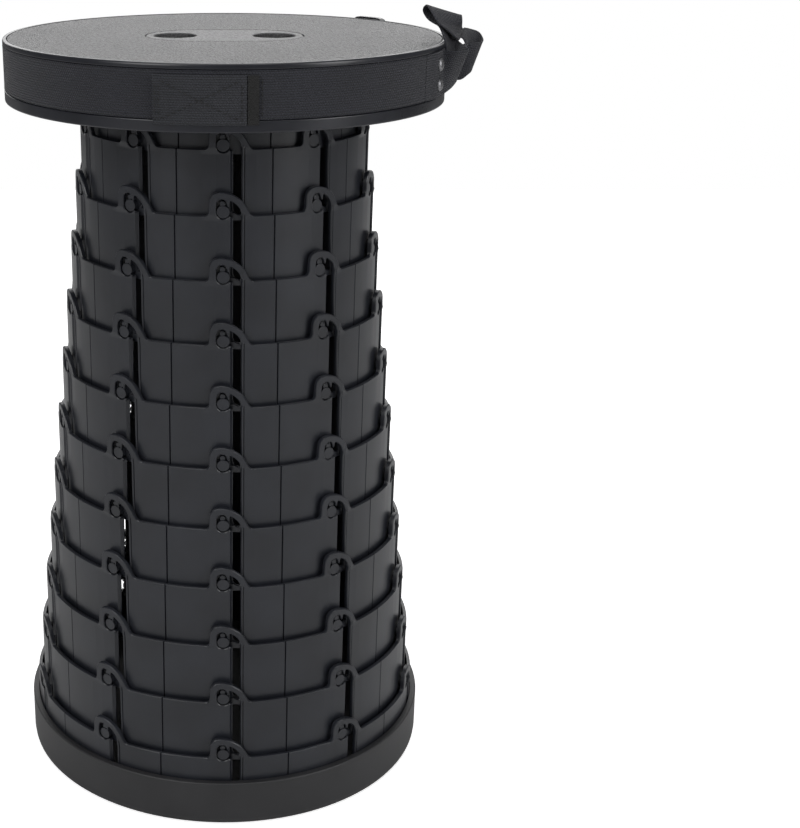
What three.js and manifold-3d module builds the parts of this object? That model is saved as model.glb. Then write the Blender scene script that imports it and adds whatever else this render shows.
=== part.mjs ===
// A collapsible telescopic stool, standing at full height. Eleven moulded rings nest in one
// another and hang together by pegs that stand in the pockets of the next ring. A round seat
// with webbing in its side channel closes the top, and a skirted base carries the column.
// Millimetres, +Z up, the floor at z = 0, the front of the stool towards -Y.

import * as THREE from "three";
import { mergeGeometries, mergeVertices } from "three/addons/utils/BufferGeometryUtils.js";
import Module from "manifold-3d";

const wasm = await Module();
wasm.setup();

// Clearances that several pieces share
const SEAT_GAP = 0.3; // between pieces that touch
const OVERRUN = 1; // how far a cutter runs past what it cuts

// The column of rings
const RING_COUNT = 10; // sliding rings between the base ring and the seat ring
const COLUMN_COUNT = 10; // lines of pegs and slots round the stool
const RING_FACETS = 20; // two to a column
const BASE_RING_RADIUS = 124.4;
const RING_WALL = 2;
const RING_GAP = 1.92; // radial room between a ring and the next one out
const STAGE_PITCH = 35.75; // from one lip up to the next
const BASE_ROOM = 0.25; // a ring's drop short of the base plate
const RING_TUCK = 3.6; // a ring's lower edge below the lip that it stands in

// The raised shoulder over each peg, as seen from outside
const SHOULDER_LEFT = 8.8;
const SHOULDER_RIGHT = 14.4;
const SHOULDER_HEIGHT = 12.6;
// Each point is a share of the left or right width and a share of the height.
const SHOULDER_OUTLINE_SHARES = [
  [-1, 0],
  [-0.97, 0.62],
  [-0.5, 0.98],
  [0.2, 0.94],
  [0.72, 0.6],
  [1, 0],
];

// Pegs, the pockets that they stand in and the slots beside them
const PEG_RADIUS = 3.2;
const PEG_SIDES = 5;
const PEG_RISE = 5.1; // peg centre above its ring's lower edge
const PEG_SHIFT = -0.8; // peg centre from the column's centre line, to the left
const PEG_CLEARANCE = 0.4;
const POCKET_ARC = [205, 320]; // degrees, the round floor of a pocket
const POCKET_ROOF = 8.9; // above the lip
const POCKET_SKIN = 0.7; // wall left outside the groove that the pegs run down
const GROOVE_INSET = 0.1; // the groove's edges inside the pocket's and the slot's
const SLOT_LEFT = 3.1; // from the column's centre line
const SLOT_WIDTH = 6.2;
const SLOT_ROOF = 8; // above the lip, on the slot's left side
const SLOT_SHOULDER = 2.2; // above the lip, on its right side
const SLOT_RIM = 2; // wall left below the slot
const CATCH_WIDTH = 2.3; // the roof slopes this far from the slot to the pocket

// The seat
const SEAT_FACETS = 40;
const SEAT_LIFT = 16; // underside of the seat above the first ring's lip
const SEAT_DEPTH = 35;
const SEAT_RUNNING_GAP = 0.9; // round the base ring when the stool is shut
const SEAT_WALL = 1.4;
const FLANGE_HEIGHT = 6.3;
const RIM_HEIGHT = 3;
const RIM_ROLL = 1.1; // radius of the rolled edge
const RIM_WIDTH = 2.4;
const LEDGE_WIDTH = 6;
const LEDGE_THICKNESS = 1;
const TOP_THICKNESS = 1.9;
const TOP_RECESS = 0.3; // seat plate below the rolled edge
const TOP_CHAMFER = 0.5;

// The oval finger cap in the middle of the seat
const CAP_LENGTH = 91.6;
const CAP_WIDTH = 58;
const CAP_BRIM = 3;
const CAP_BRIM_THICKNESS = 2;
const CAP_FACETS = 10; // along each round end
const FINGER_HOLE_RADIUS = 12.5;
const FINGER_HOLE_SPACING = 57.4;
const FINGER_HOLE_FACETS = 16;
const CUP_WALL = 1.8;
const CUP_DEPTH = 16;

// Webbing round the seat
const STRAP_THICKNESS = 1.1;
const STRAP_MARGIN = 0.35; // between the webbing's edges and its channel
const TAB_START = -16.5; // degrees from the front, to the right
const TAB_END = 5;
const TAB_DROP = 2.4; // the closing tab hangs below the band
const PATCH_MARGIN = 0.2; // degrees between the tab and the hook patch
const PATCH_END = 7.8;
const PATCH_THICKNESS = 0.8;
const RIVET_AZIMUTHS = [66.5, 107.3]; // degrees from the front
const RIVET_SPACING = 11;
const RIVET_RADIUS = 3.5;
const RIVET_HEIGHT = 1.7;
const HEAD_CROWN_SHARE = 0.55; // flat crown of a rivet's head over its width
const RIVET_SHANK_RADIUS = 1.5;
const RIVET_FACETS = 10;
const STRAP_END_MARGIN = 1.9; // degrees of band past a rivet

// The carrying loop between the rivets
const LOOP_REACH = 19; // beyond the band, where it swings out furthest
const LOOP_RISE = 27; // above the band's centre line, at its top
const LOOP_LEAN = 88; // degrees that its upper edge leans from upright
const LOOP_TURN = 90; // degrees that it leans along the band and not towards the seat
const LOOP_STEPS = 45; // a whole number of them between stations
// Each station is a share of the way round, of the reach, the rise, the lean and the turn.
const LOOP_STATION_SHARES = [
  [0, 0, 0, 0, 1],
  [0.132, 0.011, 0, 0, 1],
  [0.236, 0.055, 0.02, 0.193, 0.822],
  [0.295, 0.431, 0.121, 0.522, 0.829],
  [0.351, 0.535, 0.367, 0.692, 0.846],
  [0.429, 0.125, 0.781, 0.882, 0.323],
  [0.551, 0.005, 0.919, 0.999, 0.268],
  [0.644, 0.209, 0.979, 0.908, 0.334],
  [0.706, 0.562, 0.893, 0.701, 0.098],
  [0.741, 0.992, 0.659, 0.467, -0.478],
  [0.8, 0.978, 0.265, 0.199, -0.847],
  [0.848, 0.69, 0.06, -0.449, -0.161],
  [0.865, 0.164, 0.01, -0.011, 0.388],
  [0.899, 0.016, 0, 0, 0],
  [0.926, 0, 0, 0, 0],
  [1, 0, 0, 0, 0],
];

// The three-bar slide buckle at the back
const BUCKLE_AZIMUTH = 133.5;
const BUCKLE_HEIGHT = 37;
const BUCKLE_LENGTH = 22;
const BUCKLE_THICKNESS = 4.4;
const BUCKLE_BAR = 4.2;
const BUCKLE_CHEEK = 4.6;
const BUCKLE_LIFT = 2.4; // its centre above the band's

// The base
const SKIRT_WALL = 3.9;
const SKIRT_TOP = 28.9;
const SKIRT_EDGE = 0.8; // chamfer round its top
const PLATE_THICKNESS = 3.2;
const GRIP_STAND = 1.2; // base plate above the floor, on its rubber
const GRIP_MARGIN = 6.4; // rubber ring inside the base plate's edge
const GRIP_RING_WIDTH = 12;
const GRIP_PAD_RADIUS = 20;
const GRIP_FACETS = 32;

// Sizes that follow from those above
const RING_STEP = RING_WALL + RING_GAP;
const RING_DROP = STAGE_PITCH + RING_TUCK; // a ring's lower edge below its own lip
const PEG_LIFT = PEG_RISE - RING_TUCK; // peg centre above the lip that it stands in
const POCKET_RADIUS = PEG_RADIUS + PEG_CLEARANCE;
const PLATE_TOP = GRIP_STAND + PLATE_THICKNESS;
const BASE_LIP_HEIGHT = PLATE_TOP + RING_DROP + BASE_ROOM;
const FIRST_LIP = BASE_LIP_HEIGHT + RING_COUNT * STAGE_PITCH;
const SEAT_UNDERSIDE = FIRST_LIP + SEAT_LIFT;
const SEAT_HEIGHT = SEAT_UNDERSIDE + SEAT_DEPTH;
const BORE_RADIUS = BASE_RING_RADIUS + SEAT_RUNNING_GAP;
const CHANNEL_RADIUS = BORE_RADIUS + SEAT_WALL;
const BAND_INNER = CHANNEL_RADIUS + SEAT_GAP;
const BAND_OUTER = BAND_INNER + STRAP_THICKNESS;
const FLANGE_TOP = SEAT_UNDERSIDE + FLANGE_HEIGHT;
const RIM_UNDERSIDE = SEAT_HEIGHT - RIM_HEIGHT;
const STRAP_WIDTH = RIM_UNDERSIDE - FLANGE_TOP - 2 * STRAP_MARGIN;
const STRAP_CENTRE = (RIM_UNDERSIDE + FLANGE_TOP) / 2;
const TOP_FACE = SEAT_HEIGHT - TOP_RECESS;
const TOP_UNDERSIDE = TOP_FACE - TOP_THICKNESS;
const LEDGE_TOP = TOP_UNDERSIDE - SEAT_GAP;

const ringRadius = (stage) => BASE_RING_RADIUS - (RING_COUNT + 1 - stage) * RING_STEP;
const lipHeight = (stage) => BASE_LIP_HEIGHT + (RING_COUNT + 1 - stage) * STAGE_PITCH;
const radians = THREE.MathUtils.degToRad;

// Materials
const ringPlastic = new THREE.MeshStandardMaterial({ color: 0x2c2d32, roughness: 0.5, metalness: 0 });
const seatPlastic = new THREE.MeshStandardMaterial({ color: 0x2b2b2e, roughness: 0.62, metalness: 0 });
const basePlastic = new THREE.MeshStandardMaterial({ color: 0x242528, roughness: 0.6, metalness: 0 });
const webbing = new THREE.MeshStandardMaterial({ color: 0x1d1d20, roughness: 0.9, metalness: 0 });
const hookFabric = new THREE.MeshStandardMaterial({ color: 0x121214, roughness: 1, metalness: 0 });
const bucklePlastic = new THREE.MeshStandardMaterial({ color: 0x1a1a1c, roughness: 0.4, metalness: 0 });
const rivetSteel = new THREE.MeshStandardMaterial({ color: 0x8c8d90, roughness: 0.35, metalness: 1 });
const gripRubber = new THREE.MeshStandardMaterial({ color: 0x161616, roughness: 0.95, metalness: 0 });

const stool = new THREE.Group();

function addPiece(name, geometry, material, height = 0) {
  const mesh = new THREE.Mesh(geometry, material);
  mesh.name = name;
  mesh.position.z = height;
  stool.add(mesh);
}

// Turns a geometry into a solid that can be cut and joined.
function solidOf(geometry) {
  const plain = new THREE.BufferGeometry();
  plain.setAttribute("position", geometry.getAttribute("position"));
  if (geometry.index) plain.setIndex(geometry.index);
  const merged = mergeVertices(plain, 1e-4);
  return new wasm.Manifold(
    new wasm.Mesh({
      numProp: 3,
      vertProperties: merged.getAttribute("position").array,
      triVerts: new Uint32Array(merged.index.array),
    }),
  );
}

function geometryOf(solid) {
  const mesh = solid.getMesh();
  const geometry = new THREE.BufferGeometry();
  geometry.setAttribute("position", new THREE.BufferAttribute(mesh.vertProperties, 3));
  geometry.setIndex(new THREE.BufferAttribute(mesh.triVerts, 1));
  return geometry;
}

// Turns a closed outline of [radius, height] points about the stool's axis. A facet, or the
// edge between two, faces the front.
function revolve(outline, facets, facetToFront = false) {
  const points = [...outline, outline[0]].map(([r, z]) => new THREE.Vector2(r, z));
  const start = facetToFront ? -Math.PI / facets : 0;
  const geometry = new THREE.LatheGeometry(points, facets, start, 2 * Math.PI);
  return geometry.rotateX(Math.PI / 2);
}

// A disc or tube between two heights.
function tube(inner, outer, low, high, facets) {
  return revolve([[inner, low], [outer, low], [outer, high], [inner, high]], facets);
}

// Extrudes an outline that is drawn as seen from outside, [across, up], through the wall
// between two distances from the axis, and repeats it for each column.
function throughWall(outline, inner, outer) {
  const shape = new THREE.Shape(outline.map(([x, y]) => new THREE.Vector2(x, y)));
  const prism = new THREE.ExtrudeGeometry(shape, { depth: outer - inner, bevelEnabled: false });
  prism.translate(0, 0, inner).rotateX(Math.PI / 2);
  const copies = Array.from({ length: COLUMN_COUNT }, (_, column) =>
    prism.clone().rotateZ((2 * Math.PI * column) / COLUMN_COUNT),
  );
  return solidOf(mergeGeometries(copies));
}

// Points along an arc, angles in degrees.
function arc(centre, radius, from, to, steps) {
  return Array.from({ length: steps + 1 }, (_, i) => {
    const angle = radians(from + ((to - from) * i) / steps);
    return [centre[0] + radius * Math.cos(angle), centre[1] + radius * Math.sin(angle)];
  });
}

// Rings
const shoulderOutline = SHOULDER_OUTLINE_SHARES.map(([across, up]) => [
  across * (across < 0 ? SHOULDER_LEFT : SHOULDER_RIGHT),
  up * SHOULDER_HEIGHT,
]);

// The pocket and the slot beside it are one opening.
function openingOutline(slotFoot) {
  const pocketLeft = PEG_SHIFT - POCKET_RADIUS;
  const slotRight = SLOT_LEFT + SLOT_WIDTH;
  return [
    [SLOT_LEFT, slotFoot],
    [slotRight, slotFoot],
    [slotRight, SLOT_SHOULDER],
    [SLOT_LEFT, SLOT_ROOF],
    [SLOT_LEFT - CATCH_WIDTH, POCKET_ROOF],
    [pocketLeft, POCKET_ROOF],
    ...arc([PEG_SHIFT, PEG_LIFT], POCKET_RADIUS, POCKET_ARC[0], POCKET_ARC[1], 2),
  ];
}

// The pegs of a ring, with their centres at a height.
function pegsOf(radius, height) {
  const flat = Math.cos(Math.PI / RING_FACETS);
  const outline = arc([PEG_SHIFT, height], PEG_RADIUS, 0, 360 - 360 / PEG_SIDES, PEG_SIDES - 1);
  const tip = (radius + RING_STEP) * flat - POCKET_SKIN - SEAT_GAP;
  return throughWall(outline, radius * flat - POCKET_SKIN / 2, tip);
}

// A ring with its lip at height zero. Its wall hangs down from the lip, its shoulders stand
// up over the pockets, and its pegs, if it has any, stand out near its lower edge.
function ringGeometry(radius, drop, hasPegs) {
  const inner = radius - RING_WALL;
  const flat = Math.cos(Math.PI / RING_FACETS); // a facet's middle over its corners
  const cutInner = inner - RING_WALL;
  const cutOuter = radius + RING_WALL;
  const crest = SHOULDER_HEIGHT + OVERRUN;
  const slotFoot = SLOT_RIM - drop;
  const grooveFoot = slotFoot + GROOVE_INSET;

  const wall = solidOf(
    revolve([[inner, -drop], [radius, -drop], [radius, crest], [inner, crest]], RING_FACETS, true),
  );
  const above = solidOf(
    revolve(
      [[cutInner, 0], [cutOuter, 0], [cutOuter, crest + OVERRUN], [cutInner, crest + OVERRUN]],
      RING_FACETS,
      true,
    ),
  );
  const rooted = [...shoulderOutline, [SHOULDER_RIGHT, -OVERRUN], [-SHOULDER_LEFT, -OVERRUN]];
  const shoulders = throughWall(rooted.reverse(), cutInner - OVERRUN, cutOuter + OVERRUN);
  const openings = throughWall(openingOutline(slotFoot), cutInner, cutOuter);
  const pocketLeft = PEG_SHIFT - POCKET_RADIUS;
  const grooves = throughWall(
    [
      [pocketLeft + GROOVE_INSET, grooveFoot],
      [SLOT_LEFT + SLOT_WIDTH / 2, grooveFoot],
      [SLOT_LEFT + SLOT_WIDTH / 2, PEG_LIFT],
      [pocketLeft + GROOVE_INSET, PEG_LIFT],
    ],
    cutInner,
    radius * flat - POCKET_SKIN,
  );
  const ring = wall.subtract(above.subtract(shoulders)).subtract(openings).subtract(grooves);
  return geometryOf(hasPegs ? ring.add(pegsOf(radius, PEG_RISE - drop)) : ring);
}

for (let stage = 1; stage <= RING_COUNT; stage += 1) {
  const name = "ring_" + String(stage).padStart(2, "0");
  addPiece(name, ringGeometry(ringRadius(stage), RING_DROP, true), ringPlastic, lipHeight(stage));
}
const baseRingDrop = BASE_LIP_HEIGHT - PLATE_TOP - SEAT_GAP;
addPiece(
  "base_ring",
  ringGeometry(BASE_RING_RADIUS, baseRingDrop, false),
  ringPlastic,
  BASE_LIP_HEIGHT,
);

// The seat ring stands on its pegs in the first ring's pockets and carries the seat.
function seatRing() {
  const radius = ringRadius(0);
  const foot = FIRST_LIP - RING_TUCK;
  const wall = solidOf(
    revolve(
      [
        [radius - RING_WALL, foot],
        [radius, foot],
        [radius, LEDGE_TOP],
        [radius - RING_WALL, LEDGE_TOP],
      ],
      RING_FACETS,
      true,
    ),
  );
  return geometryOf(wall.add(pegsOf(radius, foot + PEG_RISE)));
}

addPiece("seat_ring", seatRing(), ringPlastic);

// Seat shell: a flange below, a channel for the webbing, a rolled rim and a ledge that the
// seat plate lies on.
const rimInner = BAND_OUTER - RIM_WIDTH;
addPiece(
  "seat_shell",
  revolve(
    [
      [BORE_RADIUS, SEAT_UNDERSIDE],
      [BAND_OUTER, SEAT_UNDERSIDE],
      [BAND_OUTER, FLANGE_TOP],
      [CHANNEL_RADIUS, FLANGE_TOP],
      [CHANNEL_RADIUS, RIM_UNDERSIDE],
      [BAND_OUTER, RIM_UNDERSIDE],
      ...arc([BAND_OUTER - RIM_ROLL, SEAT_HEIGHT - RIM_ROLL], RIM_ROLL, 0, 90, 2),
      [rimInner, SEAT_HEIGHT],
      [rimInner, LEDGE_TOP],
      [BORE_RADIUS - LEDGE_WIDTH, LEDGE_TOP],
      [BORE_RADIUS - LEDGE_WIDTH, LEDGE_TOP - LEDGE_THICKNESS],
      [BORE_RADIUS, LEDGE_TOP - LEDGE_THICKNESS],
    ],
    SEAT_FACETS,
  ),
  seatPlastic,
);

// Seat plate and finger cap
function ovalPoints(length, width) {
  const end = length / 2 - width / 2;
  return [
    ...arc([end, 0], width / 2, -90, 90, CAP_FACETS),
    ...arc([-end, 0], width / 2, 90, 270, CAP_FACETS),
  ];
}

// Extrudes an outline of [x, y] points between two heights.
function slab(outline, low, high) {
  const shape = new THREE.Shape(outline.map(([x, y]) => new THREE.Vector2(x, y)));
  const geometry = new THREE.ExtrudeGeometry(shape, { depth: high - low, bevelEnabled: false });
  return solidOf(geometry.translate(0, 0, low));
}

const plateRadius = rimInner - SEAT_GAP;
const plate = solidOf(
  revolve(
    [
      [0, TOP_UNDERSIDE],
      [plateRadius, TOP_UNDERSIDE],
      [plateRadius, TOP_FACE - TOP_CHAMFER],
      [plateRadius - TOP_CHAMFER, TOP_FACE],
      [0, TOP_FACE],
    ],
    SEAT_FACETS,
  ),
);
const capOpening = slab(
  ovalPoints(CAP_LENGTH + 2 * SEAT_GAP, CAP_WIDTH + 2 * SEAT_GAP),
  TOP_UNDERSIDE - OVERRUN,
  TOP_FACE + OVERRUN,
);
addPiece("seat_top", geometryOf(plate.subtract(capOpening)), seatPlastic);

function fingerHole(side, radius, low, high) {
  const cylinder = revolve([[0, low], [radius, low], [radius, high], [0, high]], FINGER_HOLE_FACETS);
  return solidOf(cylinder.translate((side * FINGER_HOLE_SPACING) / 2, 0, 0));
}

const brimTop = TOP_UNDERSIDE - SEAT_GAP;
const brimUnderside = brimTop - CAP_BRIM_THICKNESS;
const cupFoot = TOP_FACE - CUP_DEPTH;
const cupRadius = FINGER_HOLE_RADIUS + CUP_WALL;
let cap = slab(ovalPoints(CAP_LENGTH, CAP_WIDTH), brimUnderside, TOP_FACE);
const brimLength = CAP_LENGTH + 2 * CAP_BRIM;
cap = cap.add(slab(ovalPoints(brimLength, CAP_WIDTH + 2 * CAP_BRIM), brimUnderside, brimTop));
for (const side of [-1, 1]) {
  cap = cap.add(fingerHole(side, cupRadius, cupFoot, brimTop));
  cap = cap.subtract(fingerHole(side, FINGER_HOLE_RADIUS, cupFoot - OVERRUN, TOP_FACE + OVERRUN));
}
addPiece("finger_cap", geometryOf(cap), seatPlastic);

// Points on a circle about the stool, azimuths in degrees from the front to the right.
const around = (azimuth, radius) => [
  radius * Math.sin(radians(azimuth)),
  -radius * Math.cos(radians(azimuth)),
];

// Keeps the part of a sleeve round the seat between two azimuths less than 90 degrees apart.
function sector(inner, outer, low, high, from, to) {
  const reach = 2 * outer;
  const wedge = slab([[0, 0], around(from, reach), around(to, reach)], low - OVERRUN, high + OVERRUN);
  return solidOf(tube(inner, outer, low, high, SEAT_FACETS)).intersect(wedge);
}

// Webbing: the band is open between the rivets, and its closing tab lies over its front.
const bandFoot = STRAP_CENTRE - STRAP_WIDTH / 2;
const bandTop = STRAP_CENTRE + STRAP_WIDTH / 2;
const [nearRivets, farRivets] = RIVET_AZIMUTHS;
const trimInner = BAND_OUTER + SEAT_GAP;
const trimOuter = trimInner + STRAP_THICKNESS;
const bandOpening = sector(
  BAND_INNER - OVERRUN,
  BAND_OUTER + OVERRUN,
  bandFoot - OVERRUN,
  bandTop + OVERRUN,
  nearRivets + STRAP_END_MARGIN,
  farRivets - STRAP_END_MARGIN,
);
const band = solidOf(tube(BAND_INNER, BAND_OUTER, bandFoot, bandTop, SEAT_FACETS));
const rivetHeights = [STRAP_CENTRE - RIVET_SPACING / 2, STRAP_CENTRE + RIVET_SPACING / 2];

// Turns a solid of revolution to stand out from the seat at an azimuth and a height.
function standOut(outline, azimuth, height) {
  const geometry = revolve(outline, RIVET_FACETS).rotateX(Math.PI / 2);
  return geometry.rotateZ(radians(azimuth)).translate(0, 0, height);
}

// Holes for the rivets' shanks
const holeRadius = RIVET_SHANK_RADIUS + SEAT_GAP;
const holeReach = trimOuter + OVERRUN;
const holeStart = CHANNEL_RADIUS - OVERRUN;
const holeOutline = [[0, holeStart], [holeRadius, holeStart], [holeRadius, holeReach], [0, holeReach]];
const rivetHoles = RIVET_AZIMUTHS.flatMap((azimuth) =>
  rivetHeights.map((height) => solidOf(standOut(holeOutline, azimuth, height))),
);
const pierced = (solid) => rivetHoles.reduce((rest, hole) => rest.subtract(hole), solid);

addPiece("strap_band", geometryOf(pierced(band.subtract(bandOpening))), webbing);
const tab = sector(trimInner, trimOuter, bandFoot - TAB_DROP, bandTop - TAB_DROP, TAB_START, TAB_END);
addPiece("strap_tab", geometryOf(tab), webbing);
const patch = sector(
  trimInner,
  trimInner + PATCH_THICKNESS,
  bandFoot - TAB_DROP,
  bandTop - TAB_DROP,
  TAB_END + PATCH_MARGIN,
  PATCH_END,
);
addPiece("hook_patch", geometryOf(patch), hookFabric);

// Carrying loop: a ribbon that leaves the band beside each pair of rivets, twists as it rises,
// and lies flat where it arches over the rim.
function loopGeometry() {
  const start = nearRivets - STRAP_END_MARGIN;
  const sweep = farRivets + STRAP_END_MARGIN - start;
  const middle = (trimInner + trimOuter) / 2;
  const centres = LOOP_STATION_SHARES.map(([way, reach, rise]) => {
    const [x, y] = around(start + way * sweep, middle + reach * LOOP_REACH);
    return new THREE.Vector3(x, y, STRAP_CENTRE + rise * LOOP_RISE);
  });
  const leans = LOOP_STATION_SHARES.map(([, , , ...tip]) => new THREE.Vector3(...tip, 0));
  const path = new THREE.CatmullRomCurve3(centres, false, "centripetal");
  const leaning = new THREE.CatmullRomCurve3(leans, false, "catmullrom", 0.5);
  const corners = [];
  const faces = [];
  for (let step = 0; step <= LOOP_STEPS; step += 1) {
    const share = step / LOOP_STEPS;
    const centre = path.getPoint(share);
    const along = path.getTangent(share);
    const tip = leaning.getPoint(share);
    const lean = radians(LOOP_LEAN * tip.x);
    const turned = Math.atan2(centre.y, centre.x) + radians(LOOP_TURN * tip.y);
    const across = new THREE.Vector3(
      -Math.sin(lean) * Math.cos(turned),
      -Math.sin(lean) * Math.sin(turned),
      Math.cos(lean),
    );
    across.projectOnPlane(along).normalize();
    const face = new THREE.Vector3().crossVectors(along, across);
    for (const [side, layer] of [[-1, -1], [1, -1], [1, 1], [-1, 1]]) {
      const corner = centre.clone().addScaledVector(across, (side * STRAP_WIDTH) / 2);
      corner.addScaledVector(face, (layer * STRAP_THICKNESS) / 2);
      corners.push(...corner.toArray());
    }
  }
  for (let step = 0; step < LOOP_STEPS; step += 1) {
    for (let edge = 0; edge < 4; edge += 1) {
      const next = (edge + 1) % 4;
      const here = step * 4;
      faces.push(here + edge, here + next, here + next + 4);
      faces.push(here + edge, here + next + 4, here + edge + 4);
    }
  }
  const last = LOOP_STEPS * 4;
  faces.push(0, 2, 1, 0, 3, 2, last, last + 1, last + 2, last, last + 2, last + 3);
  const geometry = new THREE.BufferGeometry();
  geometry.setAttribute("position", new THREE.Float32BufferAttribute(corners, 3));
  geometry.setIndex(faces);
  return geometry;
}

addPiece("carry_handle", geometryOf(pierced(solidOf(loopGeometry()))), webbing);

// Rivets: a domed head on the loop's end and a shank through the webbing
const headFoot = trimOuter + SEAT_GAP;
const rivetOutline = [
  [0, BAND_INNER],
  [RIVET_SHANK_RADIUS, BAND_INNER],
  [RIVET_SHANK_RADIUS, headFoot],
  [RIVET_RADIUS, headFoot],
  [RIVET_RADIUS * HEAD_CROWN_SHARE, headFoot + RIVET_HEIGHT],
  [0, headFoot + RIVET_HEIGHT],
];
RIVET_AZIMUTHS.forEach((azimuth, pair) => {
  rivetHeights.forEach((height, row) => {
    const name = "rivet_" + (pair === 0 ? "near" : "far") + "_" + (row === 0 ? "low" : "high");
    addPiece(name, standOut(rivetOutline, azimuth, height), rivetSteel);
  });
});

// Slide buckle: a flat frame with a bar down its middle
function buckleGeometry() {
  const halfLength = BUCKLE_LENGTH / 2;
  const halfHeight = BUCKLE_HEIGHT / 2;
  const box = (left, right, low, high) => [[left, low], [right, low], [right, high], [left, high]];
  const window = (left, right) => {
    const outline = box(left, right, BUCKLE_CHEEK - halfHeight, halfHeight - BUCKLE_CHEEK);
    return slab(outline, -OVERRUN, BUCKLE_THICKNESS + OVERRUN);
  };
  const frame = slab(box(-halfLength, halfLength, -halfHeight, halfHeight), 0, BUCKLE_THICKNESS)
    .subtract(window(BUCKLE_BAR - halfLength, -BUCKLE_BAR / 2))
    .subtract(window(BUCKLE_BAR / 2, halfLength - BUCKLE_BAR));
  return geometryOf(frame)
    .translate(0, 0, trimInner)
    .rotateX(Math.PI / 2)
    .rotateZ(radians(BUCKLE_AZIMUTH))
    .translate(0, 0, STRAP_CENTRE + BUCKLE_LIFT);
}

addPiece("buckle", buckleGeometry(), bucklePlastic);

// Base
const skirtInner = BASE_RING_RADIUS + SEAT_GAP;
const skirtOuter = skirtInner + SKIRT_WALL;
addPiece(
  "base_skirt",
  revolve(
    [
      [skirtInner, GRIP_STAND],
      [skirtOuter, GRIP_STAND],
      [skirtOuter, SKIRT_TOP - SKIRT_EDGE],
      [skirtOuter - SKIRT_EDGE, SKIRT_TOP],
      [skirtInner, SKIRT_TOP],
    ],
    SEAT_FACETS,
  ),
  basePlastic,
);
addPiece("base_plate", tube(0, BASE_RING_RADIUS, GRIP_STAND, PLATE_TOP, SEAT_FACETS), basePlastic);

// Rubber under the base
const gripTop = GRIP_STAND - SEAT_GAP;
const gripOuter = BASE_RING_RADIUS - GRIP_MARGIN;
const gripInner = gripOuter - GRIP_RING_WIDTH;
addPiece("grip_ring", tube(gripInner, gripOuter, 0, gripTop, GRIP_FACETS), gripRubber);
addPiece("grip_pad", tube(0, GRIP_PAD_RADIUS, 0, gripTop, GRIP_FACETS), gripRubber);

export default stool;
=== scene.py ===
import math

import bmesh
import bpy
import numpy as np
from mathutils import Matrix, Vector
from mathutils.geometry import delaunay_2d_cdt


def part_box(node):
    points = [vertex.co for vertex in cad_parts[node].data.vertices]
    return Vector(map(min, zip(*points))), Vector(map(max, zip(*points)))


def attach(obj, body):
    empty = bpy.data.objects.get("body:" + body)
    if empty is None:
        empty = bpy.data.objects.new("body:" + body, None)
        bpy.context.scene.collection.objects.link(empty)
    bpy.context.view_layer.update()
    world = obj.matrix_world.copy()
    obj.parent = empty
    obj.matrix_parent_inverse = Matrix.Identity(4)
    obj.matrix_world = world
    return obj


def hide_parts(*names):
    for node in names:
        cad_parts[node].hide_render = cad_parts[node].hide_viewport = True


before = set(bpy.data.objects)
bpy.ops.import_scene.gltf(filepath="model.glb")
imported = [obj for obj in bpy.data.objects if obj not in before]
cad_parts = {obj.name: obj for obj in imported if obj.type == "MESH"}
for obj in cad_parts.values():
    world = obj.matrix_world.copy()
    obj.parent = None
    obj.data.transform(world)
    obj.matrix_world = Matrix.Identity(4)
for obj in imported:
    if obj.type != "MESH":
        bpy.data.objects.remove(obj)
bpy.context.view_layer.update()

# Camera. It looks down a little from in front of the stool. The stool's axis stands left of
# the picture's middle, and upright, so the lens is shifted and not turned.
PICTURE_WIDTH = 800
PICTURE_HEIGHT = 828
FOCAL_PIXELS = 1507
AXIS_COLUMN = 224.6  # the picture's column that the stool's axis stands on
camera_data = bpy.data.cameras.new("camera")
camera_data.lens = FOCAL_PIXELS * camera_data.sensor_width / PICTURE_HEIGHT
camera_data.shift_x = (PICTURE_WIDTH / 2 - AXIS_COLUMN) / PICTURE_HEIGHT
camera = bpy.data.objects.new("camera", camera_data)
camera.location = (0, -0.8965, 0.552)
camera.rotation_euler = (math.radians(90 - 20.46), 0, 0)
bpy.context.scene.collection.objects.link(camera)
bpy.context.scene.camera = camera
bpy.context.scene.view_settings.view_transform = "Standard"


# Floor and studio. A plain white floor takes the stool's shadow. Soft boxes stand in front on
# both sides, above, and behind, where a grazing one whitens the seat's flat face.
class Wire:
    """A socket in a material's tree. Arithmetic on it adds Math nodes."""

    def __init__(self, tree, socket=None):
        self.tree = tree
        self.socket = socket

    def node(self, kind, settings=None, inputs=None, output=0):
        """Adds a node, with its settings and then its inputs' values or links."""
        made = self.tree.nodes.new("ShaderNode" + kind)
        for name, value in (settings or {}).items():
            if name == "stops":
                elements = made.color_ramp.elements
                while len(elements) < len(value):
                    elements.new(0.5)
                for element, (position, colour) in zip(elements, value):
                    element.position = position
                    element.color = (*colour, 1)
            else:
                setattr(made, name, value)
        for name, value in (inputs or {}).items():
            if isinstance(value, Wire):
                self.tree.links.new(value.socket, made.inputs[name])
            else:
                made.inputs[name].default_value = value
        return Wire(self.tree, made.outputs[output] if made.outputs else None)

    def maths(self, operation, first, second=0):
        return self.node("Math", {"operation": operation}, {0: first, 1: second})

    def __add__(self, other):
        return self.maths("ADD", self, other)

    def __mul__(self, other):
        return self.maths("MULTIPLY", self, other)

    def __rsub__(self, other):
        return self.maths("SUBTRACT", other, self)

    __radd__ = __add__
    __rmul__ = __mul__


def new_tree(owner):
    """An empty node tree on a material or world, as a Wire without a socket."""
    owner.use_nodes = True
    owner.node_tree.nodes.clear()
    return Wire(owner.node_tree)


def grey(level):
    return (level, level, level, 1)


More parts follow.
